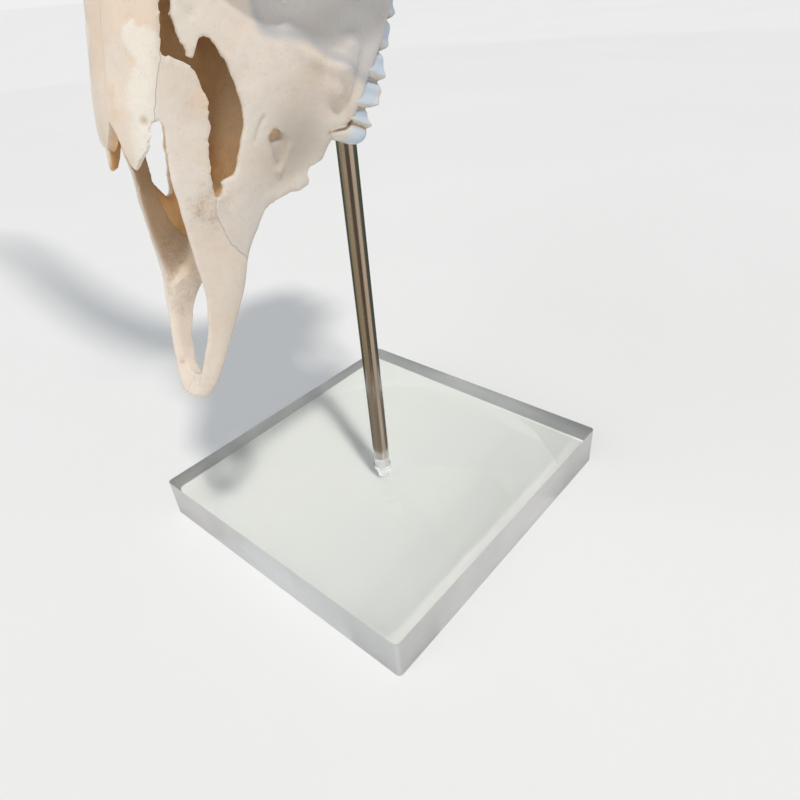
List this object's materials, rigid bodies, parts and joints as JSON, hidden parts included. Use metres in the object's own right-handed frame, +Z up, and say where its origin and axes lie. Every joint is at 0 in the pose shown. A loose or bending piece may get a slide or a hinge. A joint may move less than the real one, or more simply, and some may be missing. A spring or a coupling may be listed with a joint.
{
  "type": "mounted impala skull",
  "caption": "Impala ram's skull with ringed lyre horns and upper cheek teeth, without its lower jaw, held nose down on a steel rod in a clear square block.",
  "frame": {"origin": "centre of the clear base block's underside", "axes": "+Z up along the steel rod, -X the side that the skull's face turns to, -Y the skull's left side"},
  "size_m": [0.2427, 0.3712, 0.6894],
  "materials": {
    "bone": "matte, dry bone with bluish white enamel on the teeth",
    "horn": "dull, dark ringed horn",
    "steel": "smooth stainless steel",
    "acrylic": "clear, polished faces with frosted sides",
    "collar": "matte white"
  },
  "bodies": {
    "root": {"base_block": "acrylic", "rod": "steel", "rod_sleeve": "collar", "braincase": "bone", "frontal_left": "bone", "frontal_right": "bone", "lacrimal_left": "bone", "lacrimal_right": "bone", "maxilla_left": "bone", "maxilla_right": "bone", "nasal_left": "bone", "nasal_right": "bone", "premaxilla_left": "bone", "premaxilla_right": "bone", "zygomatic_left": "bone", "zygomatic_right": "bone", "horn_left": "horn", "horn_right": "horn"}
  },
  "joints": []
}
